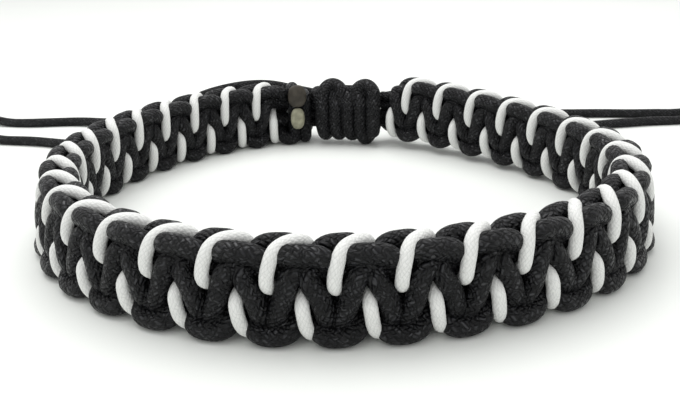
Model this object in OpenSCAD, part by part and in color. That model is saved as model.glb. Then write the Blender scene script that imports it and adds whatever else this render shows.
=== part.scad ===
// Knotted cord bracelet: a thick band of black cord hitched over four core strands and laced
// with white cord over both edges, closed by a sliding knot with two free cord ends each way.
// The band stands on its lower edge. +Z is up, the closure is at the back, +Y.

/* [Band] */
// Number of white loops along the upper edge
loops = 32; // [28:1:36]
// Length of one repeat of the knots along the band
period = 5; // [4.6:0.1:5.6]
// Height of the band
band_h = 9; // [8.6:0.1:10]
// Thickness of the band
band_t = 4.4; // [4:0.1:5]
// How much further out the lower edge stands than the upper edge, at the band's two sides
flare = 1.1; // [0:0.1:1.6]
// How far the band's last end stands off the surface
end_lift = 1; // [0:0.1:1.5]
// Height over which each edge of the band is rounded
edge_h = 2.4; // [2:0.1:3]
// Depth of the grooves that hold the white loops
groove = 1.45; // [1.35:0.05:1.5]
// Gap between neighbouring pieces
gap = 0.25; // [0.2:0.05:0.35]

/* [Cords] */
// Diameter of the white cord
white_d = 1.15; // [1:0.05:1.2]
// Diameter of the core strands and the free cord ends
core_d = 1.3; // [1.1:0.05:1.5]
// How far a white loop's two sides stand apart along the band
loop_lean = 3.1; // [2:0.1:3.6]
// Diameter of a stopper knot on a free cord end
stop_d = 3.4; // [3:0.1:4]

/* [Closure] */
// Distance between the first and the last white loop across the closure
closure_l = 23; // [23:0.5:30]
// Angle of the closure's middle, seen from above
closure_turn = 88; // [80:1:100]
// Band left bare of loops at its first end
first_end = 6.9; // [6:0.1:7]
// Band left bare of loops at its last end
last_end = 5; // [4.4:0.1:5.5]
// How much further in than the band the sliding knot stands
knot_in = 1; // [0:0.1:1.2]
// Length of the sliding knot along the band
knot_l = 9.2; // [8:0.1:9.3]
// Thickness of the two wraps of the sliding knot
wrap_d = 4.4; // [4:0.1:4.4]
// Angle at which the free cord ends leave the sliding knot, outwards from the band
exit_turn = 45; // [40:5:60]

/* [Hidden] */
$fn = 48;

// The plan of the band as it stands: a round ring drawn slightly out of true by its own
// springiness. Each row is one even wave around the ring: its count, and its two amounts.
WAVES = [
    [2, 0.034, -0.028],
    [3, 0.017, -0.028],
    [4, 0.011, -0.002]];
WAVE_COUNT = 0;
WAVE_COS = 1;
WAVE_SIN = 2;

band_l = (loops - 1) * period + closure_l;
steps = 180;

function wave(w, a) = w[WAVE_COS] * cos(w[WAVE_COUNT] * a) + w[WAVE_SIN] * sin(w[WAVE_COUNT] * a);
function unit_plan(a) = (1 + wave(WAVES[0], a) + wave(WAVES[1], a) + wave(WAVES[2], a)) * [cos(a), sin(a)];

// Rows of [distance along the unit plan, angle], from which the ring's size follows
UNIT_ARC = [for (i = 0, l = 0; i <= steps;
                 l = l + norm(unit_plan((i + 1) * 360 / steps) - unit_plan(i * 360 / steps)), i = i + 1)
            [l, i * 360 / steps]];
mean_r = band_l / UNIT_ARC[steps][0];
closure_s = mean_r * lookup(closure_turn, [for (row = UNIT_ARC) [row[1], row[0]]]);
first_s = closure_s + closure_l / 2;

// The point at distance s along the band, n outwards from its middle and z up. The origin is
// at the middle of the band's outer box. The band leans a little at its two sides, the left
// one more, and stands upright at the front and back. Towards its last end it rises.
flare_skew = 0.2;
function flare_at(a) = (flare - flare_skew * cos(a)) * pow(cos(a), 2);
rise_from = 126;
rise_l = 34;
function eased(v) = let (w = max(0, min(1, v))) w * w * (3 - 2 * w);
function rise_at(s) = end_lift * eased((s - first_s - rise_from) / rise_l);
function turn_at(s) = lookup((s % band_l) / mean_r, UNIT_ARC);
function along(a) = let (d = unit_plan(a + 0.5) - unit_plan(a - 0.5)) d / norm(d);
function beside(a, n) = let (t = along(a)) mean_r * unit_plan(a) + n * [t[1], -t[0]];
OUTLINE = [for (a = [0:2:358]) beside(a, (band_t + flare_at(a)) / 2)];
function middle(k) = let (v = [for (p = OUTLINE) p[k]]) (min(v) + max(v)) / 2;
PLAN_MIDDLE = [middle(0), middle(1)];
function spot(s, n, z) =
    let (a = turn_at(s), p = beside(a, n - flare_at(a) * (z / band_h - 0.5)) - PLAN_MIDDLE)
    [p[0], p[1], z + rise_at(s)];

// The band's section: from the middle of the outer face over the upper edge to the middle of
// the inner face, and back under the lower edge. A row is the point and the way it faces.
channel_h = 2;
edge_turns = [0, 30, 60, 90, 120, 150, 180];
edge_power = 0.7;
function bowed(v) = sign(v) * pow(abs(v), edge_power);
function edge_row(t, side) =
    [bowed(cos(t)) * band_t / 2,
     band_h / 2 + side * (band_h / 2 - edge_h + edge_h * bowed(sin(t))),
     cos(t),
     side * sin(t)];
face_crown = 0.05;
SECTION = concat([[band_t / 2 + face_crown, band_h / 2, 1, 0]],
                 [for (t = edge_turns) edge_row(t, 1)],
                 [[-band_t / 2 - face_crown, band_h / 2, -1, 0]],
                 [for (t = edge_turns) edge_row(180 - t, -1)]);
N = 0;
Z = 1;
FACE_N = 2;
FACE_Z = 3;

// How deep the surface lies under the bars of cord at distance d from loop 0: a channel runs
// along the middle of each face, and from it a groove runs over the edge under every white
// loop. The grooves of the lower edge lie half a period on. Past the outermost grooves the
// surface is flat.
flat_from = 0.92;
flat_over = 0.2;
function notch(d) = (1 + cos(360 * d / period)) / 2;
function lean_at(n) = -loop_lean * n / band_t;
function grooved(e) =
    eased((flat_from + e / period) / flat_over) * eased((loops - 1 + flat_from - e / period) / flat_over);
function sink(d, row) =
    let (up = row[Z] - band_h / 2,
         barred = eased(abs(up) / channel_h),
         e = d - lean_at(row[N]))
    groove * grooved(e) * (1 - barred * (1 - notch(e + (up < 0 ? period / 2 : 0))));

// A tube or strap through rings of points, closed by flat ends. The quads between two rings are
// halved along the groove that crosses them: one way up to the given side, the other past it.
function halves(a, b, c, d, turned) = turned ? [[a, b, c], [a, c, d]] : [[a, b, d], [b, c, d]];
module swept(rings, turned_to = 0) {
    n = len(rings[0]);
    m = len(rings);
    polyhedron(
        points = [for (ring = rings) for (p = ring) p],
        faces = concat(
            [[for (k = [n - 1:-1:0]) k]],
            [for (i = [0:m - 2]) for (k = [0:n - 1])
                let (j = (k + 1) % n)
                each halves(i * n + k, i * n + j, (i + 1) * n + j, (i + 1) * n + k, k < turned_to)],
            [[for (k = [0:n - 1]) (m - 1) * n + k]]),
        convexity = 10);
}

// Rings of a round tube of diameter d with the given sides along a route of points
function unit(v) = v / norm(v);
function heading(route, i) = unit(route[min(i + 1, len(route) - 1)] - route[max(i - 1, 0)]);
function tube_rings(route, d, sides, up) =
    [for (i = [0:len(route) - 1])
        let (t = heading(route, i), a = unit(cross(up, t)), b = cross(a, t))
        [for (k = [0:sides - 1])
            route[i] + d / 2 * (cos(360 * k / sides) * a + sin(360 * k / sides) * b)]];

// The black band, with the grooves and bars of its knotted cord and narrowed ends. Each end row
// is a distance from the end, and the share of the full section there.
sections_per_period = 6;
end_l = 1.8;
END_ROWS = [
    [0, 0.55],
    [0.5, 0.82],
    [1.2, 0.95]];
function strap_ring(s, share) =
    [for (row = SECTION)
        let (k = sink(s - first_s, row),
             n = share * (row[N] - k * row[FACE_N]),
             z = band_h / 2 + share * (row[Z] - k * row[FACE_Z] - band_h / 2))
        spot(s, n, z)];
body_from = first_s - first_end;
body_to = first_s + (loops - 1) * period + last_end;
module knotted_band() {
    inner_from = body_from + end_l;
    inner_to = body_to - end_l;
    pieces = ceil((inner_to - inner_from) * sections_per_period / period);
    color("#1b1c1f")
        swept(concat(
            [for (row = END_ROWS) strap_ring(body_from + row[0], row[1])],
            [for (i = [0:pieces]) strap_ring(inner_from + (inner_to - inner_from) * i / pieces, 1)],
            [for (i = [len(END_ROWS) - 1:-1:0]) strap_ring(body_to - END_ROWS[i][0], END_ROWS[i][1])]),
            len(SECTION) / 2);
}

// One white loop over an edge, in its groove: side is 1 for the upper edge, -1 for the lower
loop_depth = groove - gap - white_d / 2;
loop_foot = 0.5;
function loop_point(s, row) =
    spot(s + lean_at(row[N]), row[N] - loop_depth * row[FACE_N], row[Z] - loop_depth * row[FACE_Z]);
function loop_route(s, side) =
    let (rows = [for (t = edge_turns) edge_row(t, side)],
         foot_z = band_h / 2 + side * loop_foot)
    concat([loop_point(s, [band_t / 2, foot_z, 1, 0])],
           [for (row = rows) loop_point(s, row)],
           [loop_point(s, [-band_t / 2, foot_z, -1, 0])]);
module loop(s, side) {
    route = loop_route(s, side);
    mid = spot(s, 0, 0) - spot(s - 1, 0, 0);
    swept(tube_rings(route, white_d, 6, unit(mid)));
}
module white_loops_upper()
    color("#e9e9e4")
        for (i = [0:loops - 1]) loop(first_s + i * period, 1);
module white_loops_lower()
    color("#e9e9e4")
        for (i = [-1:loops - 1]) loop(first_s + (i + 0.5) * period, -1);

// Where something stands square to the band at distance s along it
module at_band(s, n = 0, z = 0) {
    t = along(turn_at(s));
    translate(spot(s, n, z)) rotate([0, 0, atan2(t[1], t[0])]) children();
}

// Four core strands, one above another, between the band and the sliding knot. Seen from
// inside the ring, with the closure behind, left is further along the band.
strands = 4;
strand_step = core_d * 0.92;
seat = 0.1;
knot_seat = 0.3;
knot_s = closure_s - 1.1;
module neck(from, to, up)
    color("#1b1c1f")
        at_band((from + to) / 2, 0, band_h / 2 + up)
            rotate([0, 90, 0])
                linear_extrude(to - from, center = true)
                    for (i = [0:strands - 1])
                        translate([(i - (strands - 1) / 2) * strand_step, 0]) circle(d = core_d);
module neck_left() neck(knot_s + knot_l / 2 + knot_seat, body_from - seat, 0);
module neck_right() neck(body_to - band_l + seat, knot_s - knot_l / 2 - knot_seat, end_lift / 2);

// The sliding knot: two upright wraps with rounded lobes above and below, and the flatter
// strands that cross between them
crossing_d = 3.6;
wrap_at = (knot_l - wrap_d) / 2;
wrap_reach = (band_h - wrap_d) / 2;
lobe_flat_r = 0.3;
function lobe_point(t, side) = [wrap_d / 2 * cos(t), side * (wrap_reach + wrap_d / 2 * sin(t))];
WRAP_OUTLINE = concat(
    [[0, -band_h / 2], [lobe_flat_r, -band_h / 2]],
    [for (t = [75:-15:0]) lobe_point(t, -1)],
    [for (t = [0:15:75]) lobe_point(t, 1)],
    [[lobe_flat_r, band_h / 2], [0, band_h / 2]]);
module wrap(x)
    translate([x, 0, 0]) rotate_extrude() polygon(WRAP_OUTLINE);
module sliding_knot()
    color("#1b1c1f")
        at_band(knot_s, -knot_in, band_h / 2 + seat) {
            wrap(-wrap_at);
            wrap(wrap_at);
            translate([-wrap_at, 0, 0]) rotate([0, 90, 0]) cylinder(d = crossing_d, h = 2 * wrap_at);
        }

// Melted cord ends, flat pads pressed on the inner face beside the closure
pad_t = 0.9;
pad_from_end = 2.2;
black_pad = [2.8, 3];
black_pad_z = 7.2;
white_pad = [2.1, 2.9];
white_pad_z = 4;
module pad(size, z)
    at_band(body_from + pad_from_end, -band_t / 2 - gap - pad_t / 2, z)
        rotate([90, 0, 0])
            linear_extrude(pad_t, center = true) {
                for (v = [-1, 1])
                    translate([0, v * (size[1] - size[0]) / 2]) circle(d = size[0]);
                square([size[0], size[1] - size[0]], center = true);
            }
module melted_black_end() color("#6d6259") pad(black_pad, black_pad_z);
module melted_white_end() color("#d9cfb8") pad(white_pad, white_pad_z);

// The free cord ends: out of the sliding knot's wraps, down to the surface and away behind the
// band, up to a stopper knot's middle at the tip. Side is 1 on the left and -1 on the right.
rest_z = core_d / 2;
exit_stub = 1.2;
lift_z = 1.2;
tip_z = stop_d / 2;
exit_upper_z = 6.3;
exit_lower_z = 2.9;
function tail_exit(side, z, d) =
    let (a = turn_at(knot_s), t = along(a), o = spot(knot_s, -knot_in, z), r = wrap_d / 2 + seat + d,
         f = side * (wrap_at + r * cos(exit_turn)), g = r * sin(exit_turn))
    [o[0] + f * t[0] + g * t[1], o[1] + f * t[1] - g * t[0], z];
function tail_route(side, z, rest) =
    concat([tail_exit(side, z, 0), tail_exit(side, z, exit_stub)], rest);
ROUTE_LEFT_UPPER = tail_route(1, exit_upper_z, [
    [-7, 31, 6.9], [-10.2, 32, 7.3], [-13.5, 32, 7.3], [-17, 31.2, 6.9], [-20.5, 30.7, 5.9], [-24, 31, 4],
    [-28, 32.2, 2.5], [-32, 34, 1.5], [-36, 36, 0.9], [-40, 37.5, 0.7], [-44, 37.6, rest_z],
    [-48, 37.4, rest_z], [-52, 38.1, rest_z], [-55, 38.9, lift_z], [-57.5, 39.5, tip_z],
    [-59.5, 40, tip_z]]);
ROUTE_LEFT_LOWER = tail_route(1, exit_lower_z, [
    [-6.5, 30.6, 2.2], [-9.5, 31, 1.6], [-13, 30.6, 1], [-17, 29.4, rest_z], [-21, 28.2, rest_z],
    [-25.5, 26.6, rest_z], [-30, 25.4, rest_z], [-34, 25, rest_z], [-38, 25.4, rest_z],
    [-42, 26.7, rest_z], [-45.5, 27.6, rest_z], [-49, 28.3, rest_z], [-52, 29, lift_z],
    [-54.3, 29.5, tip_z], [-56.2, 29.9, tip_z]]);
ROUTE_RIGHT_UPPER = tail_route(-1, exit_upper_z, [
    [9, 30.4, 5.8], [11.5, 31.8, 4.7], [14.2, 33, 3.4], [17, 34.2, 2.2], [20, 35.3, lift_z],
    [23.5, 36.4, rest_z], [28, 37.3, rest_z], [32, 37.7, rest_z], [36.5, 37.6, rest_z],
    [41, 37.4, rest_z], [45, 37, rest_z], [49, 36.9, rest_z], [53, 37.1, rest_z], [56, 37.4, lift_z],
    [58.3, 37.6, tip_z], [60.3, 37.8, tip_z]]);
ROUTE_RIGHT_LOWER = tail_route(-1, exit_lower_z, [
    [9, 29.2, 2.4], [11.8, 30, 1.7], [15, 30.6, 1], [18.5, 31, rest_z], [23, 31.2, rest_z],
    [28, 30.9, rest_z], [32, 30.4, rest_z], [35.5, 30.3, rest_z], [39, 31.1, rest_z],
    [43, 31.9, rest_z], [47, 32.5, rest_z], [51, 32.8, rest_z], [54, 33.2, lift_z], [56.2, 33.5, tip_z],
    [58.1, 33.7, tip_z]]);
module tail(route)
    color("#1b1c1f")
        swept(tube_rings(route, core_d, 8, [0, 0, 1]));
module tail_left_upper() tail(ROUTE_LEFT_UPPER);
module tail_left_lower() tail(ROUTE_LEFT_LOWER);
module tail_right_upper() tail(ROUTE_RIGHT_UPPER);
module tail_right_lower() tail(ROUTE_RIGHT_LOWER);

// A stopper knot on a free cord end: a squat barrel in line with the cord, which it meets face
// to face. It stands on the surface.
stop_l = 3.2;
stop_face_r = 1.1;
stop_shoulder = [1.5, 0.35];
stop_side = 1.1;
STOP_OUTLINE = [
    [0, 0],
    [stop_face_r, 0],
    stop_shoulder,
    [stop_d / 2, stop_side],
    [stop_d / 2, stop_l - stop_side],
    [stop_shoulder[0], stop_l - stop_shoulder[1]],
    [stop_face_r, stop_l],
    [0, stop_l]];
module stop_knot(route) {
    tip = route[len(route) - 1];
    t = heading(route, len(route) - 1);
    color("#1b1c1f")
        translate(tip)
            rotate([0, 0, atan2(t[1], t[0])])
                rotate([0, 90, 0])
                    rotate_extrude() polygon(STOP_OUTLINE);
}
module stop_knot_left_upper() stop_knot(ROUTE_LEFT_UPPER);
module stop_knot_left_lower() stop_knot(ROUTE_LEFT_LOWER);
module stop_knot_right_upper() stop_knot(ROUTE_RIGHT_UPPER);
module stop_knot_right_lower() stop_knot(ROUTE_RIGHT_LOWER);

knotted_band();
white_loops_upper();
white_loops_lower();
neck_left();
neck_right();
sliding_knot();
melted_black_end();
melted_white_end();
tail_left_upper();
tail_left_lower();
tail_right_upper();
tail_right_lower();
stop_knot_left_upper();
stop_knot_left_lower();
stop_knot_right_upper();
stop_knot_right_lower();
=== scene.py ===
"""Weaves the looks of a knotted cord bracelet round its fixed frame.

Routes of cord are short tables in band coordinates: millimetres along the band, outwards from
its middle and up. Most tables are one repeat of the knots, which a loop lays round the band.
"""

import math

import bpy
import numpy as np
from bpy.props import FloatProperty, FloatVectorProperty, IntProperty, PointerProperty
from bpy.types import Operator, Panel, PropertyGroup
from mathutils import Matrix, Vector


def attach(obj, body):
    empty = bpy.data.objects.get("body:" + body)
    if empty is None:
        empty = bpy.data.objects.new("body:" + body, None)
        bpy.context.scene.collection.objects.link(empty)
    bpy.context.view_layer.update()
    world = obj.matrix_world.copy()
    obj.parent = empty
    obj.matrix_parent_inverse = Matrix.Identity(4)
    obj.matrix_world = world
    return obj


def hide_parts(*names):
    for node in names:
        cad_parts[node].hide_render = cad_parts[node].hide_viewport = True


bl_info = {
    "name": "Knotted Cord Bracelet",
    "version": (1, 0, 0),
    "blender": (4, 5, 0),
    "location": "3D View > Sidebar > Bracelet",
    "description": "Weaves a knotted cord bracelet and its sliding knot round their frame",
    "category": "Object",
}

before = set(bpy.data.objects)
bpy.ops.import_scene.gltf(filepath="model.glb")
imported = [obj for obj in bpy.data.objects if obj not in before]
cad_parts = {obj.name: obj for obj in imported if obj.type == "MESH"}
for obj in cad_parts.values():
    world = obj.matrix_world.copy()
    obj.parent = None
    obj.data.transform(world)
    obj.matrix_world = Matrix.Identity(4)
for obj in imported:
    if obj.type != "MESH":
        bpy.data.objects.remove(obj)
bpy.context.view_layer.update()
MM = 0.001
BODY = "root"


# Sizes and colours that a user would change

class BandSizes(PropertyGroup):
    """Sizes of the band and its cords."""

    loops: IntProperty(name="White loops", description="White loops on the upper edge", default=32)
    period: FloatProperty(
        name="Repeat", description="Length of one repeat of the knots", default=0.005, unit="LENGTH")
    height: FloatProperty(
        name="Height", description="Height of the band", default=0.009, unit="LENGTH")
    thickness: FloatProperty(
        name="Thickness", description="Thickness of the band", default=0.0044, unit="LENGTH")
    flare: FloatProperty(
        name="Flare", default=0.0011, unit="LENGTH",
        description="How much further out the lower edge stands than the upper, at the sides")
    end_lift: FloatProperty(
        name="Lift", description="How far the band's last end stands off the floor",
        default=0.001, unit="LENGTH")
    black_d: FloatProperty(
        name="Black cord", description="Diameter of the black cord", default=0.00175, unit="LENGTH")
    white_d: FloatProperty(
        name="White cord", description="Diameter of the white cord", default=0.00118, unit="LENGTH")
    core_d: FloatProperty(
        name="Core cord", description="Diameter of the core strands and free ends",
        default=0.0013, unit="LENGTH")


class ClosureSizes(PropertyGroup):
    """Sizes of the gap in the band and the sliding knot in it."""

    length: FloatProperty(
        name="Closure", description="First to last white loop across the closure",
        default=0.023, unit="LENGTH")
    turn: FloatProperty(
        name="Place", description="Angle of the closure's middle, seen from above",
        default=math.radians(88), subtype="ANGLE")
    knot_shift: FloatProperty(
        name="Knot shift", description="Sliding knot's place along the closure",
        default=-0.0011, unit="LENGTH")
    knot_in: FloatProperty(
        name="Knot in", description="How much further in than the band the sliding knot stands",
        default=0.001, unit="LENGTH")


class CordColours(PropertyGroup):
    """Colours of the cords and their melted ends."""

    # Painted light and shade: the black cord's first colour is its yarn's lit face, and its gap colour
    # is much darker for the shade that falls between the yarns.
    black: FloatVectorProperty(
        name="Black cord", description="Lit face of the black yarn", subtype="COLOR",
        default=(0.013, 0.0135, 0.017))
    black_gap_shade: FloatVectorProperty(
        name="Black gaps", description="Gaps between the black yarns", subtype="COLOR",
        default=(0.0012, 0.0012, 0.0016))
    white: FloatVectorProperty(
        name="White cord", description="Face of the white yarn", subtype="COLOR",
        default=(0.80, 0.805, 0.785))
    # Painted shade: the gap colour is a greyer copy of the white for the shade that falls between the
    # yarns.
    white_gap_shade: FloatVectorProperty(
        name="White gaps", description="Gaps between the white yarns", subtype="COLOR",
        default=(0.66, 0.67, 0.65))
    melted_black: FloatVectorProperty(
        name="Melted black", description="Melted end of the black cord", subtype="COLOR",
        default=(0.066, 0.058, 0.047))
    melted_white: FloatVectorProperty(
        name="Melted white", description="Melted end of the white cord", subtype="COLOR",
        default=(0.37, 0.36, 0.26))


class StudioSettings(PropertyGroup):
    """Camera, floor and light."""

    distance: FloatProperty(
        name="Distance", description="From the camera to the middle of the band",
        default=0.0885, unit="LENGTH")
    pitch: FloatProperty(
        name="Pitch", description="How far the camera looks down", default=0.3352, subtype="ANGLE")
    roll: FloatProperty(
        name="Roll", description="Camera's turn about its line of sight",
        default=-0.017, subtype="ANGLE")
    lens: FloatProperty(name="Lens", description="Focal length in millimetres", default=42.83)
    aim_x: FloatProperty(
        name="Aim", description="How far right of the band's middle the camera aims",
        default=0.0006, unit="LENGTH")
    shift_x: FloatProperty(name="Shift X", description="Sideways shift", default=-0.0024)
    shift_y: FloatProperty(name="Shift Y", description="Upward shift", default=-0.0435)
    sky: FloatProperty(name="Sky", description="Strength of the light all round", default=0.9)
    key: FloatProperty(
        name="Key", description="Power of the light overhead", default=0.36, unit="POWER")
    floor: FloatVectorProperty(
        name="Floor", description="Colour of the floor", subtype="COLOR",
        default=(0.83, 0.85, 0.82))


GROUPS = {
    "bracelet_band": BandSizes,
    "bracelet_closure": ClosureSizes,
    "bracelet_colours": CordColours,
    "bracelet_studio": StudioSettings,
}


# The band's plan, as in the part's source. Each wave is its count round the ring and its share of
# the radius as a cosine and as a sine.

PLAN_WAVES = ((2, 0.034, -0.028), (3, 0.017, -0.028), (4, 0.011, -0.002))
PLAN_STEPS = 720
HALF_STEP = math.radians(0.5)
FLARE_SKEW = 0.2 * MM
# How far past the first white loop the band starts to rise, and the length over which it does
RISE_FROM = 126 * MM
RISE_L = 34 * MM


def unit_plan(turns):
    """Points of a ring of mean radius 1 that stands slightly out of true."""
    reach = 1 + sum(c * np.cos(n * turns) + s * np.sin(n * turns) for n, c, s in PLAN_WAVES)
    return reach[:, None] * np.column_stack((np.cos(turns), np.sin(turns)))


def unit_rows(rows):
    """Each row divided by its own length."""
    return rows / np.linalg.norm(rows, axis=-1, keepdims=True)


def running_length(points):
    """Distance along the points, from 0 at the first."""
    return np.concatenate(([0.0], np.cumsum(np.linalg.norm(np.diff(points, axis=0), axis=1))))


class Plan:
    """The band seen from above: a closed curve that is measured along its length."""

    def __init__(self, scene):
        band = scene.bracelet_band
        closure = scene.bracelet_closure
        self.turns = np.linspace(0, 2 * math.pi, PLAN_STEPS + 1)
        arc = running_length(unit_plan(self.turns))
        self.length = (band.loops - 1) * band.period + closure.length
        self.radius = self.length / arc[-1]
        self.arc = arc * self.radius
        middle = np.interp(closure.turn, self.turns, self.arc)
        self.first_loop = middle + closure.length / 2
        self.knot = middle + closure.knot_shift
        self.knot_in = closure.knot_in
        self.flare = band.flare
        self.height = band.height
        self.end_lift = band.end_lift
        outline = self.beside(self.turns, (band.thickness + self.flare_at(self.turns)) / 2)
        self.middle = (outline.min(axis=0) + outline.max(axis=0)) / 2

    def flare_at(self, turns):
        """How far out the lower edge leans, more on the left than on the right."""
        return (self.flare - FLARE_SKEW * np.cos(turns)) * np.cos(turns) ** 2

    def beside(self, turns, out):
        """Points at the distance out from the plan curve at each angle."""
        ahead = unit_rows(unit_plan(turns + HALF_STEP) - unit_plan(turns - HALF_STEP))
        outwards = np.column_stack((ahead[:, 1], -ahead[:, 0]))
        return self.radius * unit_plan(turns) + out[:, None] * outwards

    def place(self, route, start):
        """Band coordinates in metres, measured from start, as points of the frame. Towards the
        band's last end they rise."""
        turns = np.interp((start + route[:, 0]) % self.length, self.arc, self.turns)
        rise = np.clip((start + route[:, 0] - self.first_loop - RISE_FROM) / RISE_L, 0, 1)
        rise = self.end_lift * rise * rise * (3 - 2 * rise)
        lean = self.flare_at(turns) * (route[:, 2] / self.height - 0.5)
        flat = self.beside(turns, route[:, 1] - lean) - self.middle
        return np.column_stack((flat, route[:, 2] + rise))


# Routes of cord: rows of millimetres along, outwards and up. One repeat of the tables is
# TABLE_PERIOD long and they are drawn for a band of TABLE_HEIGHT.

SPIRAL_ROUTE = (
    (-1.3, 0.8, 2.0), (-1.0, 1.15, 2.8), (-0.35, 1.3, 4.65), (0.2, 1.15, 6.2), (0.75, 0.8, 6.7),
    (1.6, 0.5, 6.9), (2.5, 0, 7.0), (3.4, -0.5, 6.9), (4.25, -0.8, 6.7), (4.8, -1.15, 6.2),
    (5.35, -1.3, 4.65), (6.0, -1.15, 2.8), (6.3, -0.8, 2.0), (5.6, -0.6, 1.8), (5.0, 0, 1.7),
    (4.4, 0.6, 1.8))
# Rows left off the spiral at the band's last end
SPIRAL_CUT = 8
UPPER_BAR = (
    (2.75, 0.3, 6.9), (2.75, 0.75, 7.4), (2.15, 1.0, 7.85), (1.0, 1.05, 8.0), (0.1, 1.0, 7.95),
    (-0.3, 0.7, 7.7), (-0.2, 0.25, 7.2))
UPPER_MIDDLE = (0, 0, 7.05)
FALLING_LEG = (
    (-3.1, 0.35, 6.6), (-3.5, 0.95, 6.2), (-2.85, 1.3, 4.65), (-2.3, 1.15, 2.8), (-2.1, 0.7, 2.2),
    (-1.4, 0, 2.1))
LOWER_BAR = (
    (-0.4, -0.45, 1.9), (-0.15, -0.95, 1.4), (0.5, -1.3, 1.0), (1.5, -1.38, 0.88), (2.4, -1.3, 1.0),
    (2.9, -0.9, 1.35), (2.75, -0.35, 1.8))
LOWER_MIDDLE = (2.5, 0, 2.05)
INNER_LOWER_BAR = (
    (0.0, -0.35, 1.9), (0.3, -0.9, 1.4), (0.75, -1.28, 1.05), (1.45, -1.4, 0.9), (2.05, -1.28, 1.0),
    (2.45, -0.85, 1.35), (2.6, -0.3, 1.8))
RISING_LEG = (
    (6.3, 0, 2.2), (6.95, -0.75, 2.4), (7.3, -1.15, 2.8), (7.85, -1.3, 4.65), (8.4, -0.95, 6.2),
    (8.15, -0.3, 6.6))
WHITE_CLIMB = (
    (-1.5, 0.9, 5.0), (-1.6, 1.4, 5.45), (-1.55, 1.55, 6.4), (-1.35, 1.4, 7.4), (-1.1, 1.05, 8.1),
    (-0.65, 0.55, 8.5))
WHITE_FALL = (
    (0.65, -0.55, 8.5), (1.1, -1.05, 8.1), (1.35, -1.4, 7.4), (1.5, -1.6, 6.4), (1.55, -1.6, 5.4),
    (1.5, -1.2, 4.6))
WHITE_LOW_CLIMB = (
    (-1.5, 1.0, 5.1), (-1.5, 1.6, 5.6), (-1.4, 1.7, 6.4), (-1.25, 1.55, 7.4), (-1.0, 1.15, 8.1),
    (-0.6, 0.6, 8.5))
WHITE_LOW_FALL = (
    (0.85, -0.5, 8.55), (1.25, -1.1, 8.3), (1.42, -1.6, 7.5), (1.48, -1.75, 6.5), (1.45, -1.6, 5.7),
    (1.4, -1.0, 5.1))
WHITE_TOP = (0, 0, 8.62)
WHITE_THROUGH = (1.2, 0, 4.5)
TABLE_PERIOD = 5
TABLE_HEIGHT = 9.3


def turned(rows, about=0.0):
    """The rows turned half round an upright line in the middle of the band, in reverse order."""
    return tuple((2 * about - s, -n, z) for s, n, z in reversed(rows))


def lowered(rows):
    """The rows as they come again at the lower edge, half a repeat on."""
    return tuple((s + TABLE_PERIOD / 2, n, TABLE_HEIGHT - z) for s, n, z in rows)


HITCHING_ROUTE = (
    UPPER_BAR + (UPPER_MIDDLE,) + turned(UPPER_BAR) + FALLING_LEG + INNER_LOWER_BAR + (LOWER_MIDDLE,)
    + turned(LOWER_BAR, LOWER_MIDDLE[0]) + RISING_LEG)
WHITE_OVER = WHITE_CLIMB + (WHITE_TOP,) + WHITE_FALL
WHITE_UNDER = lowered(WHITE_LOW_CLIMB + (WHITE_TOP,) + WHITE_LOW_FALL)
WHITE_BACK = (3.7, 0, 4.65)
WHITE_ROUTE = WHITE_OVER + (WHITE_THROUGH,) + WHITE_UNDER + (WHITE_BACK,)


END_WRAP = (
    (0, 1.3, 4.6), (0, 1.3, 2.6), (0, 0.9, 1.3), (0, 0, 0.95), (0, -0.9, 1.3), (0, -1.3, 2.6),
    (0, -1.3, 4.6), (0, -1.3, 6.6), (0, -0.9, 7.7), (0, 0, 8.05), (0, 0.9, 7.7), (0, 1.3, 6.6))
# Rows of an end wrap that come again where it closes
WRAP_OVERLAP = 2
# Where each end wrap lies along the band, and its share of the table height
END_WRAPS = ((-5.95, 0.86), (-4.35, 1.0))


def repeated(rows, first, last):
    """One repeat's rows laid from the first to the last repeat, in table millimetres."""
    return [(s + i * TABLE_PERIOD, n, z) for i in range(first, last + 1) for s, n, z in rows]


# Curves and tubes. A path that starts steeper than UPRIGHT gets its cross directions from the X
# axis and not from the Z axis.

UPRIGHT = 0.9


def spline(points, step):
    """A smooth curve through the points, with a point about every step along it."""
    points = np.asarray(points, float)
    knots = running_length(points)
    gap = np.diff(knots)
    slope = np.diff(points, axis=0) / gap[:, None]
    count = len(points)
    matrix = np.eye(count)
    right = np.zeros_like(points)
    inner = np.arange(1, count - 1)
    matrix[inner, inner - 1] = gap[:-1]
    matrix[inner, inner] = 2 * (gap[:-1] + gap[1:])
    matrix[inner, inner + 1] = gap[1:]
    right[1:-1] = 6 * np.diff(slope, axis=0)
    bend = np.linalg.solve(matrix, right)
    fine = np.linspace(0, knots[-1], int(knots[-1] / step * 2) + 2)
    i = np.clip(np.searchsorted(knots, fine, side="right") - 1, 0, count - 2)
    after = (fine - knots[i])[:, None]
    before = (knots[i + 1] - fine)[:, None]
    h = gap[i][:, None]
    curve = (
        (bend[i] * before**3 + bend[i + 1] * after**3) / (6 * h)
        + (points[i] / h - bend[i] * h / 6) * before
        + (points[i + 1] / h - bend[i + 1] * h / 6) * after)
    arc = running_length(curve)
    even = np.linspace(0, arc[-1], max(int(round(arc[-1] / step)), 2) + 1)
    return np.column_stack([np.interp(even, arc, curve[:, k]) for k in range(3)])


def cross_frames(path):
    """Two directions square to the path at each point, which turn with it as little as they can."""
    ahead = unit_rows(np.gradient(path, axis=0))
    side = np.empty_like(path)
    helper = np.array((0.0, 0.0, 1.0)) if abs(ahead[0, 2]) < UPRIGHT else np.array((1.0, 0.0, 0.0))
    last = np.cross(ahead[0], helper)
    for i, t in enumerate(ahead):
        last = last - last.dot(t) * t
        last = last / math.sqrt(last.dot(last))
        side[i] = last
    return ahead, side, np.cross(ahead, side)


# Rings of a rounded cord end, and the layer of a mesh that holds its braid coordinates
CAP_TURNS = np.radians((80, 60, 40, 20))
BRAID_MAP = "braid"


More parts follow.
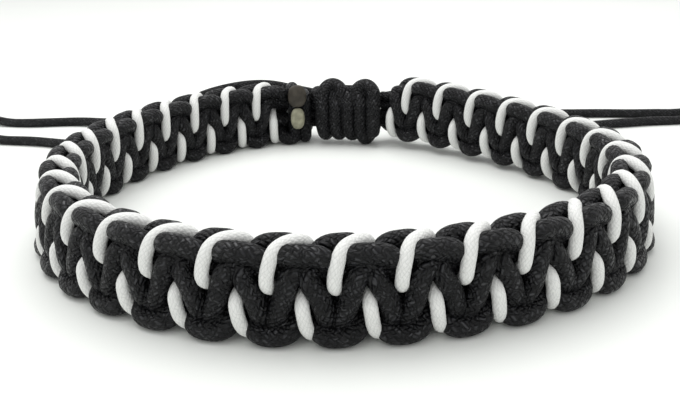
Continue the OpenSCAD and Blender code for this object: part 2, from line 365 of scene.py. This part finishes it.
def skin(rings, sides):
    """A closed skin over rings of an even number of points: the ring and the place in it of each
    wall face, then the wall faces, then the faces of a lid on each end."""
    i, k = np.meshgrid(np.arange(rings - 1), np.arange(sides), indexing="ij")
    i = i.ravel()
    k = k.ravel()
    j = (k + 1) % sides
    wall = np.column_stack((i * sides + k, i * sides + j, (i + 1) * sides + j, (i + 1) * sides + k))
    m = np.arange(sides // 2 - 1)
    lid = np.column_stack((m, m + 1, sides - 2 - m, sides - 1 - m))
    return i, k, wall, np.concatenate((lid[:, ::-1], lid + (rings - 1) * sides))


def tube(path, radius, sides):
    """A round cord along the path with rounded ends: points, faces and braid coordinates.
    The braid coordinates of a face's corners are turns round the cord and millimetres along it."""
    ahead, side, across = cross_frames(path)
    count = len(path)
    first_cap = path[0] - ahead[0] * radius * np.sin(CAP_TURNS)[:, None]
    last_cap = path[-1] + ahead[-1] * radius * np.sin(CAP_TURNS[::-1])[:, None]
    centres = np.concatenate((first_cap, path, last_cap))
    reach = radius * np.concatenate((np.cos(CAP_TURNS), np.ones(count), np.cos(CAP_TURNS[::-1])))
    pick = np.clip(np.arange(len(centres)) - len(CAP_TURNS), 0, count - 1)
    rings = 2 * math.pi * np.arange(sides)[:, None] / sides
    spokes = np.cos(rings) * side[pick][:, None] + np.sin(rings) * across[pick][:, None]
    points = centres[:, None] + reach[:, None, None] * spokes
    along = running_length(centres) / MM
    i, k, wall, lids = skin(len(centres), sides)
    turn_a = k / sides
    turn_b = (k + 1) / sides
    braid = np.stack((
        np.column_stack((turn_a, along[i])), np.column_stack((turn_b, along[i])),
        np.column_stack((turn_b, along[i + 1])), np.column_stack((turn_a, along[i + 1]))), axis=1)
    lid_braid = np.stack((lids % sides / sides, along[lids // sides]), axis=-1)
    return points.reshape(-1, 3), np.concatenate((wall, lids)), np.concatenate((braid, lid_braid))


def joined(parts):
    """Several sets of points, faces and braid coordinates as one."""
    start = np.cumsum([0] + [len(points) for points, faces, braid in parts])
    return (
        np.concatenate([points for points, faces, braid in parts]),
        np.concatenate([faces + at for (points, faces, braid), at in zip(parts, start)]),
        np.concatenate([braid for points, faces, braid in parts]))


def make_mesh(name, shape, material):
    """A smooth mesh object of four-cornered faces, linked to the scene."""
    points, faces, braid = shape
    mesh = bpy.data.meshes.new(name)
    mesh.vertices.add(len(points))
    mesh.vertices.foreach_set("co", points.astype(np.float32).ravel())
    mesh.loops.add(faces.size)
    mesh.loops.foreach_set("vertex_index", faces.astype(np.int32).ravel())
    mesh.polygons.add(len(faces))
    mesh.polygons.foreach_set("loop_start", np.arange(0, faces.size, 4, dtype=np.int32))
    mesh.polygons.foreach_set("use_smooth", np.ones(len(faces), dtype=bool))
    layer = mesh.uv_layers.new(name=BRAID_MAP)
    layer.data.foreach_set("uv", braid.astype(np.float32).ravel())
    mesh.materials.append(material)
    mesh.update()
    mesh.validate()
    thing = bpy.data.objects.new(name, mesh)
    bpy.context.scene.collection.objects.link(thing)
    return thing


def settle(thing, slot, *nodes):
    """The finished piece rides on the frame and stands for its nodes."""
    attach(thing, BODY)
    if nodes:
        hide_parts(*nodes)
    return thing


# Shader maths. A Texture Coordinate node gives the object's own coordinates at its output
# OBJECT_OUTPUT, and a Mix node's sockets 0, 6 and 7 and output 2 are those for colours.

OBJECT_OUTPUT = 3


class Wire:
    """A value in a material's nodes. Python's own signs on it add Math nodes."""

    def __init__(self, tree, socket):
        self.tree = tree
        self.socket = socket

    def add(self, kind, settings=None, inputs=None, output=0):
        """Adds a node of that kind: first its settings, then its sockets' values or wires."""
        node = self.tree.nodes.new(kind)
        for name, value in (settings or {}).items():
            setattr(node, name, value)
        for name, value in (inputs or {}).items():
            if isinstance(value, Wire):
                self.tree.links.new(value.socket, node.inputs[name])
            else:
                node.inputs[name].default_value = value
        return Wire(self.tree, node.outputs[output])

    def maths(self, operation, *values):
        """Adds a Math node over the values, which are wires or numbers."""
        return self.add("ShaderNodeMath", {"operation": operation}, dict(enumerate(values)))

    def __add__(self, other):
        return self.maths("ADD", self, other)

    __radd__ = __add__

    def __sub__(self, other):
        return self.maths("SUBTRACT", self, other)

    def __rsub__(self, other):
        return self.maths("SUBTRACT", other, self)

    def __mul__(self, other):
        return self.maths("MULTIPLY", self, other)

    __rmul__ = __mul__

    def __truediv__(self, other):
        return self.maths("DIVIDE", self, other)

    def __pow__(self, other):
        return self.maths("POWER", self, other)

    def __abs__(self):
        return self.maths("ABSOLUTE", self)

    def floor(self):
        return self.maths("FLOOR", self)

    def fraction(self):
        return self.maths("FRACT", self)

    def sine(self):
        return self.maths("SINE", self)

    def eased(self, low, high):
        """0 below low and 1 above high, with a smooth rise between."""
        return self.add(
            "ShaderNodeMapRange", {"interpolation_type": "SMOOTHSTEP"},
            {"Value": self, "From Min": low, "From Max": high})

    def blend(self, low, high):
        """The colour low where this value is 0 and high where it is 1."""
        return self.add("ShaderNodeMix", {"data_type": "RGBA"}, {0: self, 6: low, 7: high}, 2)


def begin_material(name):
    """A new material: its tree, its shader and a wire to start from."""
    material = bpy.data.materials.new(name)
    material.use_nodes = True
    tree = material.node_tree
    shader = tree.nodes["Principled BSDF"]
    return material, shader, Wire(tree, None)


def plug(wire, shader, **inputs):
    """Links wires to the shader's sockets, or sets their values. An underscore is a space."""
    for name, value in inputs.items():
        socket = shader.inputs[name.replace("_", " ")]
        if isinstance(value, Wire):
            wire.tree.links.new(value.socket, socket)
        else:
            socket.default_value = value


def opaque(colour):
    """The colour with full alpha."""
    return (*colour, 1.0)


# Scale of the uneven pull in a braid, and how far it bends its columns and rows
PULL_SCALE = 1400.0
PULL_AROUND = 1.6
PULL_ALONG = 1.1


def braid_nodes(start, columns, pad_l, seed):
    """Height of the yarn pads of a round braid, and one random number for each pad. Pads lean
    one way and the other by turns, and an uneven pull bends their rows."""
    place = start.add("ShaderNodeUVMap", {"uv_map": BRAID_MAP})
    around = place.add("ShaderNodeSeparateXYZ", None, {"Vector": place})
    along = Wire(around.tree, around.socket.node.outputs[1])
    solid = start.add("ShaderNodeTexCoord", output=OBJECT_OUTPUT)
    pull = start.add("ShaderNodeTexNoise", None, {"Vector": solid, "Scale": PULL_SCALE, "Detail": 1.0})
    round_it = around * columns + pull * PULL_AROUND
    steps = along / pad_l + pull * PULL_ALONG
    rising = round_it + steps
    falling = round_it - steps
    cell_a = rising.floor()
    cell_b = falling.floor()
    parity = ((cell_a + cell_b) * 0.5).fraction() * 2
    over_a = abs((rising * math.pi).sine())
    over_b = abs((falling * math.pi).sine())
    height = (over_a * parity + over_b * (1 - parity)) * (0.5 + over_a * over_b * 0.5)
    cell = start.add("ShaderNodeCombineXYZ", None, {0: cell_a, 1: cell_b, 2: seed})
    chance = start.add("ShaderNodeTexWhiteNoise", {"noise_dimensions": "3D"}, {"Vector": cell})
    return height, chance


def bumped(height, depth):
    """The surface direction over a height that stands depth metres proud."""
    return height.add("ShaderNodeBump", None, {"Height": height, "Distance": depth, "Strength": 1.0})


# Braids: columns of pads round the cord, length of a pad in millimetres, and the seed. The bump is
# how far the pads stand out, and the glint how strongly a few of them shine.
BLACK_BRAID = (10, 0.55, 1)
BLACK_BUMP = 0.17 * MM
BLACK_GLINT = 0.7
WHITE_BRAID = (10, 0.5, 2)
WHITE_BUMP = 0.03 * MM


def black_cord_finish(colours):
    """Braided black cord: fine dark yarn, with a slight shine on some of its pads. Its colour holds
    painted shade in the gaps between yarns and painted glints on a few pads.
    """
    material, shader, start = begin_material("black_braid")
    height, chance = braid_nodes(start, *BLACK_BRAID)
    # Painted shade and highlight: the colour darkens from the pad tops into the gaps, where shade falls,
    # and a few random pads are painted lighter, partly the yarn's uneven tone and partly painted glints.
    lit = height.eased(0.1, 0.9) * (0.25 + chance * chance * 0.75)
    plug(
        start, shader,
        Base_Color=lit.blend(opaque(colours.black_gap_shade), opaque(colours.black)),
        Roughness=0.55 - chance * 0.2,
        Normal=bumped(height + chance * 0.4, BLACK_BUMP),
        Coat_Weight=height.eased(0.4, 0.9) * (chance ** 3) * BLACK_GLINT,
        Coat_Roughness=0.3,
        Specular_IOR_Level=0.25)
    return material


def white_cord_finish(colours):
    """Finely braided white cord with soft, long pads, and painted shade in the gaps between them."""
    material, shader, start = begin_material("white_braid")
    height, chance = braid_nodes(start, *WHITE_BRAID)
    # Painted shade: the colour greys from the pad tops into the gaps, where shade falls; the pads' own
    # tone differs a little at random.
    lit = height.eased(0.0, 0.5) * (0.75 + chance * 0.25)
    plug(
        start, shader,
        Base_Color=lit.blend(opaque(colours.white_gap_shade), opaque(colours.white)),
        Roughness=0.7,
        Normal=bumped(height, WHITE_BUMP),
        Specular_IOR_Level=0.3)
    return material


# Scale and relief of the mottling on melted cord and the floor, and how dark its dark parts are
MOTTLE_SCALE = 900.0
MOTTLE_BUMP = 0.15 * MM
MOTTLE_DARK = 0.55
FLOOR_SCALE = 30.0
FLOOR_DARK = 0.985


def melted_finish(name, colour, seed):
    """Cord that was melted and pressed: smooth and mottled, with a slight gloss."""
    material, shader, start = begin_material(name)
    place = start.add("ShaderNodeTexCoord", output=OBJECT_OUTPUT)
    noise = start.add("ShaderNodeTexNoise", {"noise_dimensions": "4D"},
                      {"Vector": place, "W": seed, "Scale": MOTTLE_SCALE, "Detail": 4.0})
    dark = tuple(MOTTLE_DARK * c for c in colour)
    plug(
        start, shader,
        Base_Color=noise.eased(0.3, 0.7).blend(opaque(dark), opaque(colour)),
        Roughness=0.35 + noise * 0.3,
        Normal=bumped(noise, MOTTLE_BUMP),
        Specular_IOR_Level=0.2)
    return material


def floor_finish(colour):
    """Plain pale studio floor with a very faint unevenness."""
    material, shader, start = begin_material("pale_floor")
    place = start.add("ShaderNodeTexCoord", output=OBJECT_OUTPUT)
    noise = start.add("ShaderNodeTexNoise", None, {"Vector": place, "Scale": FLOOR_SCALE, "Detail": 2.0})
    pale = tuple(FLOOR_DARK * c for c in colour)
    plug(
        start, shader,
        Base_Color=noise.eased(0.3, 0.7).blend(opaque(pale), opaque(colour)),
        Roughness=0.6)
    return material


def finish(name, maker, *arguments):
    """The material of that name, made by its maker the first time. The name is none of the frame's
    own materials, which would be returned instead."""
    return bpy.data.materials.get(name) or maker(*arguments)


# Operators, one for each piece or group of like pieces

# The height that the camera aims at, its near limit, how far the floor reaches each way, and the
# lamp's sides and place, in metres
CAMERA_TARGET_Z = 4.36 * MM
CLIP_START = 0.001
FLOOR_REACH = 1.5
LAMP_SIZE = (0.25, 0.15)
LAMP_AT = (-0.03, 0.05, 0.21)


class BRACELET_OT_studio(Operator):
    """Sets up the floor, the light and the camera"""

    bl_idname = "bracelet.studio"
    bl_label = "Studio"

    def execute(self, context):
        scene = context.scene
        studio = scene.bracelet_studio
        plan = Plan(scene)
        camera = bpy.data.objects.new("photo_camera", bpy.data.cameras.new("photo_camera"))
        camera.data.lens = studio.lens
        camera.data.shift_x = studio.shift_x
        camera.data.shift_y = studio.shift_y
        camera.data.clip_start = CLIP_START
        target = Vector((studio.aim_x - plan.middle[0], -plan.middle[1], CAMERA_TARGET_Z))
        back = Vector((0, -math.cos(studio.pitch), math.sin(studio.pitch)))
        camera.location = target + studio.distance * back
        camera.rotation_euler = (math.pi / 2 - studio.pitch, 0, 0)
        camera.rotation_euler.rotate_axis("Z", studio.roll)
        scene.collection.objects.link(camera)
        scene.camera = camera
        self.make_floor(scene, studio)
        self.make_light(scene, studio)
        return {"FINISHED"}

    def make_floor(self, scene, studio):
        """A square of floor under the bracelet."""
        r = FLOOR_REACH
        mesh = bpy.data.meshes.new("floor")
        mesh.from_pydata([(-r, -r, 0), (r, -r, 0), (r, r, 0), (-r, r, 0)], [], [(0, 1, 2, 3)])
        mesh.materials.append(finish("pale_floor", floor_finish, studio.floor))
        floor = bpy.data.objects.new("floor", mesh)
        scene.collection.objects.link(floor)

    def make_light(self, scene, studio):
        """An even white sky and one soft lamp overhead."""
        world = bpy.data.worlds.new("soft_sky")
        world.use_nodes = True
        sky = world.node_tree.nodes["Background"].inputs
        sky["Color"].default_value = (1, 1, 1, 1)
        sky["Strength"].default_value = studio.sky
        scene.world = world
        light = bpy.data.lights.new("overhead", "AREA")
        light.shape = "RECTANGLE"
        light.size = LAMP_SIZE[0]
        light.size_y = LAMP_SIZE[1]
        light.energy = studio.key
        lamp = bpy.data.objects.new("overhead", light)
        lamp.location = LAMP_AT
        lamp.rotation_euler = (-lamp.location).to_track_quat("-Z", "Y").to_euler()
        scene.collection.objects.link(lamp)


# Middle lines of the free ends from the sliding knot on, in frame millimetres. They rest on the
# floor and rise at the tip to the middle of the stop knot.
REST_Z = 0.65
LIFT_Z = 1.2
TIP_Z = 1.7
TAIL_ROUTES = {
    "left_upper": (
        (-7, 31, 6.9), (-10.2, 32, 7.3), (-13.5, 32, 7.3), (-17, 31.2, 6.9), (-20.5, 30.7, 5.9),
        (-24, 31, 4), (-28, 32.2, 2.5), (-32, 34, 1.5), (-36, 36, 0.9), (-40, 37.5, 0.7),
        (-44, 37.6, REST_Z), (-48, 37.4, REST_Z), (-52, 38.1, REST_Z), (-55, 38.9, LIFT_Z),
        (-57.5, 39.5, TIP_Z), (-59.5, 40, TIP_Z)),
    "left_lower": (
        (-6.5, 30.6, 2.2), (-9.5, 31, 1.6), (-13, 30.6, 1), (-17, 29.4, REST_Z), (-21, 28.2, REST_Z),
        (-25.5, 26.6, REST_Z), (-30, 25.4, REST_Z), (-34, 25, REST_Z), (-38, 25.4, REST_Z),
        (-42, 26.7, REST_Z), (-45.5, 27.6, REST_Z), (-49, 28.3, REST_Z), (-52, 29, LIFT_Z),
        (-54.3, 29.5, TIP_Z), (-56.2, 29.9, TIP_Z)),
    "right_upper": (
        (9, 30.4, 5.8), (11.5, 31.8, 4.7), (14.2, 33, 3.4), (17, 34.2, 2.2), (20, 35.3, LIFT_Z),
        (23.5, 36.4, REST_Z), (28, 37.3, REST_Z), (32, 37.7, REST_Z), (36.5, 37.6, REST_Z),
        (41, 37.4, REST_Z), (45, 37, REST_Z), (49, 36.9, REST_Z), (53, 37.1, REST_Z),
        (56, 37.4, LIFT_Z), (58.3, 37.6, TIP_Z), (60.3, 37.8, TIP_Z)),
    "right_lower": (
        (9, 29.2, 2.4), (11.8, 30, 1.7), (15, 30.6, 1), (18.5, 31, REST_Z), (23, 31.2, REST_Z),
        (28, 30.9, REST_Z), (32, 30.4, REST_Z), (35.5, 30.3, REST_Z), (39, 31.1, REST_Z),
        (43, 31.9, REST_Z), (47, 32.5, REST_Z), (51, 32.8, REST_Z), (54, 33.2, LIFT_Z),
        (56.2, 33.5, TIP_Z), (58.1, 33.7, TIP_Z)),
}
# How the free ends leave the round wraps of the sliding knot, in millimetres: the wraps' diameter
# and place either side of the knot's middle, a cord's gap to them, how far out the next point of
# the cord lies, the way it leaves, its height, and a short step that shows which way the band runs
WRAP_D = 4.4
WRAP_AT = 2.4
SEAT = 0.1
EXIT_STUB = 1.2
EXIT_TURN = math.radians(45)
EXIT_Z = {"upper": 6.3, "lower": 2.9}
SHORT_STEP = 0.01
# Fineness of the free ends and knots, and the steps of a coarse path that each free end works out
FREE_END_STEP = 0.3 * MM
FREE_END_SIDES = 12
KNOT_STEP = 0.2 * MM
PATH_STEPS = 39


def tail_exit(plan, name, stub):
    """Where a free end leaves the sliding knot, stub millimetres out of it."""
    side = 1 if name.startswith("left") else -1
    reach = WRAP_D / 2 + SEAT + stub
    ahead = side * (WRAP_AT + reach * math.cos(EXIT_TURN))
    out = reach * math.sin(EXIT_TURN)
    inwards = -plan.knot_in / MM
    middle = np.array(((0, inwards, 0), (SHORT_STEP, inwards, 0))) * MM
    centre, beyond = plan.place(middle, plan.knot)
    t = (beyond - centre) / np.linalg.norm(beyond - centre)
    z = EXIT_Z[name.split("_")[1]] * MM
    return (
        centre[0] + (ahead * t[0] + out * t[1]) * MM,
        centre[1] + (ahead * t[1] - out * t[0]) * MM,
        z)


# An open overhand knot round the X axis, in cord diameters: rows of along, across and up
OVERHAND = (
    (-0.6, 0, 0), (0.1, 0.1, 0.35), (0.8, 0.65, 0.6), (1.55, 0.55, 0.1), (1.5, -0.1, -0.6),
    (0.8, -0.75, -0.45), (0.25, -0.6, 0.25), (0.55, 0.15, 0.75), (1.15, 0.85, 0.1),
    (0.75, 0.7, -0.65), (0.15, 0.05, -0.5), (0.9, -0.35, -0.05), (1.7, -0.1, 0.1), (2.5, 0.05, 0))


class BRACELET_OT_free_ends(Operator):
    """Lays the four free cord ends and ties their stop knots"""

    bl_idname = "bracelet.free_ends"
    bl_label = "Free ends"

    def execute(self, context):
        scene = context.scene
        plan = Plan(scene)
        core_d = scene.bracelet_band.core_d
        material = finish("black_braid", black_cord_finish, scene.bracelet_colours)
        for name, rest in TAIL_ROUTES.items():
            route = [tail_exit(plan, name, 0), tail_exit(plan, name, EXIT_STUB)]
            route += [tuple(v * MM for v in row) for row in rest]
            path = spline(route, FREE_END_STEP)
            knot = self.make_stop_knot(name, path, core_d, material)
            tail = make_mesh("free_end_" + name, tube(path, core_d / 2, FREE_END_SIDES), material)
            settle(tail, "black_cord", "tail_" + name)
            coarse = spline(route, running_length(path)[-1] / PATH_STEPS)
        return {"FINISHED"}

    def make_stop_knot(self, name, path, core_d, material):
        """The overhand knot at the path's tip, in line with it."""
        ahead = path[-1] - path[-2]
        ahead = ahead / np.linalg.norm(ahead)
        across = np.cross((0, 0, 1), ahead)
        up = np.cross(ahead, across)
        rows = np.array(OVERHAND) * core_d
        points = path[-1] + rows[:, :1] * ahead + rows[:, 1:2] * across + rows[:, 2:] * up
        cord = tube(spline(points, KNOT_STEP), core_d / 2, FREE_END_SIDES)
        knot = make_mesh("overhand_" + name, cord, material)
        return settle(knot, "black_cord", "stop_knot_" + name)


RING_STEP = 0.25 * MM
CORD_SIDES = 16
WHITE_SIDES = 12
# Rows of the hitching route that come before the cord's first end
HITCHING_CUT = 2 * len(UPPER_BAR) + 1 + len(FALLING_LEG)


def band_cord(scene, name, rows, diameter, material, sides=CORD_SIDES):
    """A cord laid along the band through the rows, which are in table millimetres."""
    band = scene.bracelet_band
    plan = Plan(scene)
    scale = np.array((band.period / TABLE_PERIOD, MM, band.height / TABLE_HEIGHT))
    route = spline(np.array(rows) * scale, RING_STEP)
    points = plan.place(route, plan.first_loop)
    return make_mesh(name, tube(points, diameter / 2, sides), material)


class BRACELET_OT_black_cords(Operator):
    """Hitches the two black cords along the band"""

    bl_idname = "bracelet.black_cords"
    bl_label = "Black cords"

    def execute(self, context):
        scene = context.scene
        band = scene.bracelet_band
        material = finish("black_braid", black_cord_finish, scene.bracelet_colours)
        last = band.loops - 1
        turns = repeated(SPIRAL_ROUTE, -1, last)[:-SPIRAL_CUT]
        spiral = band_cord(scene, "spiral_cord", turns, band.black_d, material)
        rows = repeated(HITCHING_ROUTE, -1, last)
        rows = rows[HITCHING_CUT:-len(RISING_LEG)]
        hitching = band_cord(scene, "hitching_cord", rows, band.black_d, material)
        for i, (at, share) in enumerate(END_WRAPS):
            ring = [(s + at, n, share * z) for s, n, z in END_WRAP + END_WRAP[:WRAP_OVERLAP]]
            wrap = band_cord(scene, "end_wrap_%d" % i, ring, band.black_d, material)
            settle(wrap, "black_cord", "knotted_band")
        settle(spiral, "black_cord", "knotted_band")
        settle(hitching, "black_cord", "knotted_band")
        return {"FINISHED"}


class BRACELET_OT_white_cord(Operator):
    """Laces the white cord over both edges of the band"""

    bl_idname = "bracelet.white_cord"
    bl_label = "White cord"

    def execute(self, context):
        scene = context.scene
        band = scene.bracelet_band
        material = finish("white_braid", white_cord_finish, scene.bracelet_colours)
        rows = repeated(WHITE_UNDER + (WHITE_BACK,), -1, -1) + repeated(WHITE_ROUTE, 0, band.loops - 1)
        white = band_cord(scene, "white_lacing", rows[:-1], band.white_d, material, WHITE_SIDES)
        settle(white, "white_cord", "white_loops_upper", "white_loops_lower")
        return {"FINISHED"}


# The core cords inside the band: their heights in millimetres, and how far they reach past the
# first and last white loops
CORE_LEVELS = (6.0, 3.3)
CORE_REACH = 4 * MM
CORE_STEP = 1 * MM
CORE_R = 1 * MM
CORE_SIDES = 8
# Where the strands of each neck start and end: the left ones measured from the first white loop,
# the right ones from the last
NECK_LEFT = (-9 * MM, -4.5 * MM)
NECK_RIGHT = (3 * MM, 6 * MM)
NECK_STRANDS = 4
NECK_PACKING = 0.92
NECK_STEP = 0.3 * MM
NECK_SIDES = 12


def straight_cord(plan, start, end, step, z, radius, sides):
    """A cord that keeps to the middle of the band at one height."""
    s = np.arange(start, end, step)
    route = np.column_stack((s, 0 * s, 0 * s + z))
    return tube(plan.place(route, plan.first_loop), radius, sides)


class BRACELET_OT_core_strands(Operator):
    """Runs the core cords inside the band and the strands of its two necks"""

    bl_idname = "bracelet.core_strands"
    bl_label = "Core strands"

    def execute(self, context):
        scene = context.scene
        band = scene.bracelet_band
        plan = Plan(scene)
        material = finish("black_braid", black_cord_finish, scene.bracelet_colours)
        inner_l = (band.loops - 1) * band.period
        parts = []
        for level in CORE_LEVELS:
            parts.append(straight_cord(
                plan, -CORE_REACH, inner_l + CORE_REACH, CORE_STEP, level * MM, CORE_R, CORE_SIDES))
        core = make_mesh("core_strands", joined(parts), material)
        settle(core, "black_cord", "knotted_band")
        self.make_necks(scene, plan, material)
        return {"FINISHED"}

    def make_necks(self, scene, plan, material):
        """The core strands between each end of the band and the sliding knot."""
        band = scene.bracelet_band
        last_end = -scene.bracelet_closure.length
        for name, start, end, up in (
                ("left", NECK_LEFT[0], NECK_LEFT[1], 0),
                ("right", last_end + NECK_RIGHT[0], last_end + NECK_RIGHT[1], band.end_lift / 2)):
            parts = []
            for i in range(NECK_STRANDS):
                z = band.height / 2 + up + (i - (NECK_STRANDS - 1) / 2) * band.core_d * NECK_PACKING
                parts.append(straight_cord(plan, start, end, NECK_STEP, z, band.core_d / 2, NECK_SIDES))
            neck = make_mesh("neck_strands_" + name, joined(parts), material)
            settle(neck, "black_cord", "neck_" + name)


# One turn of the sliding knot's coil round the core strands, and one of the two bights of cord
# that stand over it as lobes: rows of millimetres along, outwards and up
COIL_TURN = (
    (0, -1.4, 3.0), (0, -1.45, 4.6), (0, -1.3, 6.0), (0.25, -0.75, 6.9), (0.5, 0, 7.2), (0.75, 0.8, 6.9),
    (1.0, 1.35, 5.8), (1.0, 1.4, 3.2), (1.25, 0.9, 1.75), (1.5, 0, 1.35), (1.75, -0.9, 1.75))
COIL_TURNS = 4
COIL_STEP = 2.0
# Rows of one more turn at the coil's last end
COIL_END = 7
BIGHT = (
    (-1.3, -0.7, 4.9), (-1.45, -0.95, 6.2), (-1.4, -0.8, 7.3), (-0.85, -0.5, 8.1), (0, -0.35, 8.4),
    (0.85, -0.5, 8.1), (1.4, -0.8, 7.3), (1.45, -0.95, 6.2), (1.3, -0.7, 4.9))
BIGHTS_AT = (-2.5, 2.4)
KNOT_CORD_D = 1.95 * MM
# Straight cords that fill the knot: how far out and up each lies, their reach each way and radius
KNOT_FILL = ((0.2, 2.6), (0.2, 4.6), (0.2, 6.4), (-0.3, 7.4))
KNOT_FILL_REACH = 3.6
KNOT_FILL_R = 1.0 * MM
# From SAG_FROM steps before the knot's middle, the coil's foot hangs KNOT_SAG lower with each step
# away from it, and its top at KNOT_TOP stays in place
KNOT_SAG = 0.8
SAG_FROM = 0.5
KNOT_TOP = 7.2


class BRACELET_OT_sliding_knot(Operator):
    """Ties the sliding knot round the core strands"""

    bl_idname = "bracelet.sliding_knot"
    bl_label = "Sliding knot"

    def sag(self, s):
        """How far the coil's foot hangs down at s, most at its first end."""
        return KNOT_SAG * max(0, -s / COIL_STEP - SAG_FROM)

    def execute(self, context):
        scene = context.scene
        plan = Plan(scene)
        material = finish("black_braid", black_cord_finish, scene.bracelet_colours)
        coil = [
            (COIL_STEP * (i - COIL_TURNS / 2) + s, n, z)
            for i in range(COIL_TURNS) for s, n, z in COIL_TURN]
        coil += [(COIL_STEP * COIL_TURNS / 2 + s, n, z) for s, n, z in COIL_TURN[:COIL_END]]
        coil = [(s, n, z - self.sag(s) * (1 - z / KNOT_TOP)) for s, n, z in coil]
        routes = [(coil, KNOT_CORD_D / 2)]
        for at in BIGHTS_AT:
            routes.append(([(s + at, n, z) for s, n, z in BIGHT], KNOT_CORD_D / 2))
        for n, z in KNOT_FILL:
            routes.append(([(s, n, z) for s in (-KNOT_FILL_REACH, 0, KNOT_FILL_REACH)], KNOT_FILL_R))
        parts = []
        for rows, radius in routes:
            points = spline(np.array(rows) * MM - (0, plan.knot_in, 0), KNOT_STEP)
            parts.append(tube(plan.place(points, plan.knot), radius, CORD_SIDES))
        knot = make_mesh("slider_cords", joined(parts), material)
        settle(knot, "black_cord", "sliding_knot")
        return {"FINISHED"}


# A lump's rows run to LUMP_END of a half turn above and below its middle. A power under 1 fills
# out its ring and its rise.
LUMP_COLUMNS = 32
LUMP_ROWS = 16
LUMP_END = 0.48
LUMP_RING_POWER = 0.8
LUMP_RISE_POWER = 0.7


def squared(values):
    """Sines or cosines of a turn, filled out towards a square."""
    return np.sign(values) * np.abs(values) ** LUMP_RING_POWER


def pressed_blob(size):
    """A flattened round lump as long, thick and high as size, with slightly squared sides."""
    turn = 2 * math.pi * np.arange(LUMP_COLUMNS) / LUMP_COLUMNS
    rise = np.linspace(-LUMP_END, LUMP_END, LUMP_ROWS) * math.pi
    level = np.cos(rise) ** LUMP_RISE_POWER
    x = size[0] / 2 * level[:, None] * squared(np.cos(turn))
    y = size[1] / 2 * level[:, None] * squared(np.sin(turn))
    z = size[2] / 2 * np.sin(rise)[:, None] + 0 * x
    points = np.stack((x, y, z), axis=-1).reshape(-1, 3)
    # Band coordinates are left-handed, so the faces are turned over
    faces = np.concatenate(skin(LUMP_ROWS, LUMP_COLUMNS)[2:])[:, ::-1]
    return points, faces, np.zeros((len(faces), 4, 2))


# Place of the melted ends along the band, how far in from its inner face they are centred, and
# each one's size and height
MELTED_AT = -4.7
MELTED_IN = 0.3
MELTED_ENDS = {
    "melted_black_end": ((2.9, 1.2, 3.1), 7.2),
    "melted_white_end": ((2.2, 1.0, 3.0), 4.0),
}


class BRACELET_OT_melted_ends(Operator):
    """Presses the melted cord ends on the band's inner face"""

    bl_idname = "bracelet.melted_ends"
    bl_label = "Melted ends"

    def execute(self, context):
        scene = context.scene
        plan = Plan(scene)
        colours = scene.bracelet_colours
        for name, (size, z) in MELTED_ENDS.items():
            slot = name.replace("_end", "")
            points, faces, braid = pressed_blob(size)
            points = points + (MELTED_AT, -scene.bracelet_band.thickness / 2 / MM - MELTED_IN, z)
            shape = plan.place(points * MM, plan.first_loop), faces, braid
            lump = slot + "_lump"
            material = finish(lump, melted_finish, lump, getattr(colours, slot), len(name))
            settle(make_mesh(lump, shape, material), slot, name)
        return {"FINISHED"}


OPERATORS = (
    BRACELET_OT_studio,
    BRACELET_OT_free_ends,
    BRACELET_OT_black_cords,
    BRACELET_OT_white_cord,
    BRACELET_OT_core_strands,
    BRACELET_OT_sliding_knot,
    BRACELET_OT_melted_ends,
)


class BRACELET_PT_panel(Panel):
    """Lists the bracelet's sizes, colours and pieces"""

    bl_label = "Knotted Cord Bracelet"
    bl_idname = "BRACELET_PT_panel"
    bl_space_type = "VIEW_3D"
    bl_region_type = "UI"
    bl_category = "Bracelet"

    def draw(self, context):
        for name, group in GROUPS.items():
            box = self.layout.box()
            box.label(text=name.split("_")[1].capitalize())
            for key in group.__annotations__:
                box.prop(getattr(context.scene, name), key)
        for operator in OPERATORS:
            self.layout.operator(operator.bl_idname)


def register():
    """Makes the add-on's classes and settings known."""
    for kind in (*GROUPS.values(), *OPERATORS, BRACELET_PT_panel):
        bpy.utils.register_class(kind)
    for name, group in GROUPS.items():
        setattr(bpy.types.Scene, name, PointerProperty(type=group))


def unregister():
    """Takes them back."""
    for name in GROUPS:
        delattr(bpy.types.Scene, name)
    for kind in reversed((*GROUPS.values(), *OPERATORS, BRACELET_PT_panel)):
        bpy.utils.unregister_class(kind)


def main():
    """Registers the add-on and makes every piece in order."""
    register()
    bpy.context.scene.view_settings.view_transform = "Standard"
    for operator in OPERATORS:
        getattr(bpy.ops.bracelet, operator.bl_idname.split(".")[1])()


if __name__ == "__main__":
    main()
